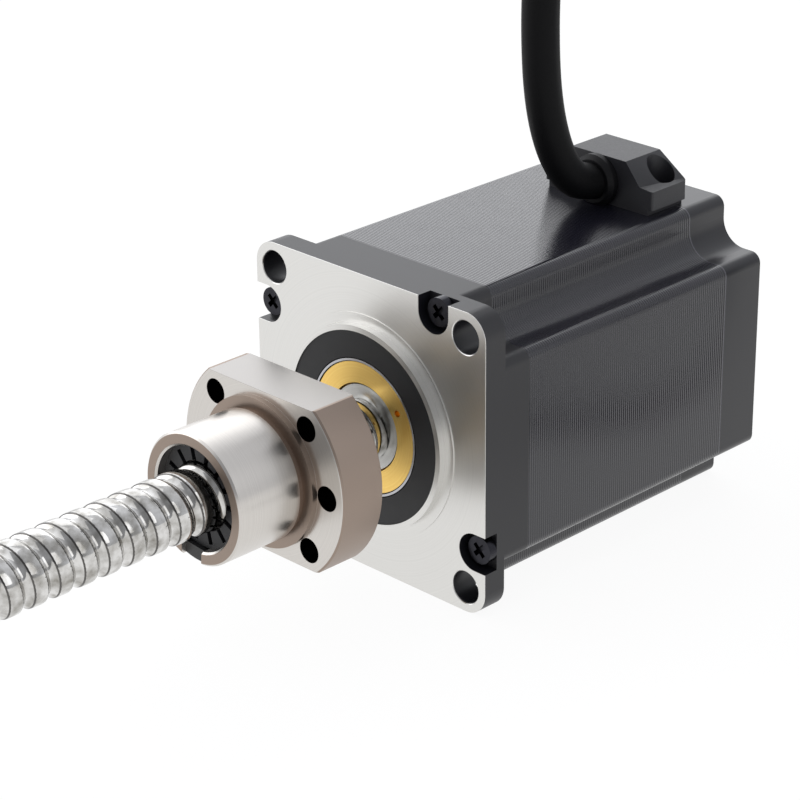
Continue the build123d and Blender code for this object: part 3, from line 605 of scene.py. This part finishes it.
def build_stage(context):
    """A white floor that keeps the shadow, soft lamps, a white surround and the camera."""
    deselect()
    bpy.ops.mesh.primitive_plane_add(size=6.0, location=(0, 0, floor_level - 0.02 * MM))
    floor = context.object
    floor.name = "floor"
    material = bpy.data.materials.new("White paper floor")
    material.use_nodes = True
    tree = material.node_tree
    tree.nodes.clear()
    paper = add_node(tree, "ShaderNodeBsdfDiffuse", {"Color": (0.9, 0.9, 0.9, 1)})
    glow = add_node(tree, "ShaderNodeEmission", {"Color": (1, 1, 1, 1), "Strength": 1.03})
    seen = add_node(tree, "ShaderNodeMath", {1: 0.9}, {0: background_rays(tree, glossy=True)},
                    operation="MULTIPLY")
    surface = add_node(tree, "ShaderNodeMixShader", links={0: seen.outputs[0], 1: paper.outputs[0],
                                                           2: glow.outputs[0]})
    add_node(tree, "ShaderNodeOutputMaterial", links={"Surface": surface.outputs[0]})
    floor.data.materials.append(material)

    world = bpy.data.worlds.new("Studio")
    context.scene.world = world
    world.use_nodes = True
    tree = world.node_tree
    tree.nodes.clear()
    white = background_rays(tree, glossy=False)
    heading = add_node(tree, "ShaderNodeTexCoord").outputs["Generated"]
    # The room is darker on the camera's side
    facing = add_node(tree, "ShaderNodeVectorMath", {1: (0.65, -0.75, 0.0)}, {0: heading},
                      operation="DOT_PRODUCT")
    room = add_node(tree, "ShaderNodeMapRange",
                    {"From Min": -0.6, "From Max": 0.7, "To Min": 1.0, "To Max": 0.38},
                    {"Value": facing.outputs["Value"]})
    strength = add_node(tree, "ShaderNodeMix", links={0: white, 2: room.outputs["Result"]})
    strength.inputs[3].default_value = 1.0
    tint = blend(tree, white, srgb("#F6F8FD"), srgb("#FFFFFF"))
    sky = add_node(tree, "ShaderNodeBackground", links={"Color": tint, "Strength": strength.outputs[0]})
    add_node(tree, "ShaderNodeOutputWorld", links={"Surface": sky.outputs[0]})

    # Each lamp's name, place, aim, size and power
    lamps = (
        ("overhead", (-0.3, -0.2, 0.75), (0, 0, 0), 1.15, 2.0),
        ("left", (-0.75, -0.35, 0.35), (0, 0, 0), 0.7, 2.0),
        ("right", (0.65, 0.1, 0.35), (0.02, 0.03, 0), 0.5, 0.8),
        ("behind", (-0.62, 0.66, 0.46), (0, 0, 0), 0.9, 2.3),
    )
    for name, place, target, size, power in lamps:
        light = bpy.data.lights.new(name, "AREA")
        light.shape = "SQUARE"
        light.size = size
        light.energy = power
        lamp = bpy.data.objects.new(name, light)
        context.collection.objects.link(lamp)
        lamp.location = place
        lamp.rotation_euler = (Vector(target) - Vector(place)).to_track_quat("-Z", "Y").to_euler()

    settings = context.scene.camera_settings
    data = bpy.data.cameras.new("camera")
    data.lens = settings.lens
    data.sensor_width = 36.0
    data.clip_end = 10.0
    camera = bpy.data.objects.new("camera", data)
    context.collection.objects.link(camera)
    level = cos(settings.elevation)
    back = Vector((sin(settings.azimuth) * level, -cos(settings.azimuth) * level, sin(settings.elevation)))
    right = Vector((cos(settings.azimuth), sin(settings.azimuth), 0))
    up = back.cross(right)
    rolled_right = cos(settings.roll) * right + sin(settings.roll) * up
    rolled_up = cos(settings.roll) * up - sin(settings.roll) * right
    place = Vector(settings.aim) + settings.distance * back
    camera.matrix_world = Matrix((
        (rolled_right.x, rolled_up.x, back.x, place.x),
        (rolled_right.y, rolled_up.y, back.y, place.y),
        (rolled_right.z, rolled_up.z, back.z, place.z),
        (0, 0, 0, 1),
    ))
    context.scene.camera = camera
    context.scene.view_settings.view_transform = "Standard"


class MOTOR_OT_finish_motor(bpy.types.Operator):
    """Finish the motor's castings, laminations and screws"""

    bl_idname = "motor.finish_motor"
    bl_label = "Finish Motor"

    def execute(self, context):
        finish_motor(context)
        return {"FINISHED"}


class MOTOR_OT_finish_clamp(bpy.types.Operator):
    """Finish the clamp, the grommet and the lead wires"""

    bl_idname = "motor.finish_clamp"
    bl_label = "Finish Clamp"

    def execute(self, context):
        finish_clamp(context)
        return {"FINISHED"}


class MOTOR_OT_finish_rotor(bpy.types.Operator):
    """Finish the rotor, its bearings and the lock nut"""

    bl_idname = "motor.finish_rotor"
    bl_label = "Finish Rotor"

    def execute(self, context):
        finish_rotor(context)
        return {"FINISHED"}


class MOTOR_OT_finish_nut(bpy.types.Operator):
    """Finish the ball nut"""

    bl_idname = "motor.finish_nut"
    bl_label = "Finish Nut"

    def execute(self, context):
        finish_nut(context)
        return {"FINISHED"}


class MOTOR_OT_screw_rod(bpy.types.Operator):
    """Build the ball screw with its helical track"""

    bl_idname = "motor.screw_rod"
    bl_label = "Build Screw Rod"

    def execute(self, context):
        build_screw_rod(context)
        return {"FINISHED"}


class MOTOR_OT_cable(bpy.types.Operator):
    """Build the cable jacket"""

    bl_idname = "motor.cable"
    bl_label = "Build Cable"

    def execute(self, context):
        build_cable(context)
        return {"FINISHED"}


class MOTOR_OT_stage(bpy.types.Operator):
    """Build the floor, the lamps, the surround and the camera"""

    bl_idname = "motor.stage"
    bl_label = "Build Stage"

    def execute(self, context):
        build_stage(context)
        return {"FINISHED"}


class MOTOR_PT_panel(bpy.types.Panel):
    """Lists the steps and their settings"""

    bl_label = "Ball Screw Motor"
    bl_space_type = "VIEW_3D"
    bl_region_type = "UI"
    bl_category = "Motor"

    def draw(self, context):
        for operator in operators:
            self.layout.operator(operator.bl_idname)
        for name in settings_groups:
            group = getattr(context.scene, name)
            for prop in group.__annotations__:
                self.layout.prop(group, prop)


operators = (
    MOTOR_OT_finish_motor,
    MOTOR_OT_finish_clamp,
    MOTOR_OT_finish_rotor,
    MOTOR_OT_finish_nut,
    MOTOR_OT_screw_rod,
    MOTOR_OT_cable,
    MOTOR_OT_stage,
)
settings_groups = {
    "screw_sizes": ScrewSizes,
    "cable_sizes": CableSizes,
    "finishes": Finishes,
    "camera_settings": CameraSettings,
}


def register():
    for name, group in settings_groups.items():
        bpy.utils.register_class(group)
        setattr(bpy.types.Scene, name, bpy.props.PointerProperty(type=group))
    for operator in operators:
        bpy.utils.register_class(operator)
    bpy.utils.register_class(MOTOR_PT_panel)


def unregister():
    bpy.utils.unregister_class(MOTOR_PT_panel)
    for operator in reversed(operators):
        bpy.utils.unregister_class(operator)
    for name, group in reversed(settings_groups.items()):
        delattr(bpy.types.Scene, name)
        bpy.utils.unregister_class(group)


def main():
    register()
    bpy.ops.motor.finish_motor()
    bpy.ops.motor.finish_clamp()
    bpy.ops.motor.finish_rotor()
    bpy.ops.motor.finish_nut()
    bpy.ops.motor.screw_rod()
    bpy.ops.motor.cable()
    bpy.ops.motor.stage()


if __name__ == "__main__":
    main()
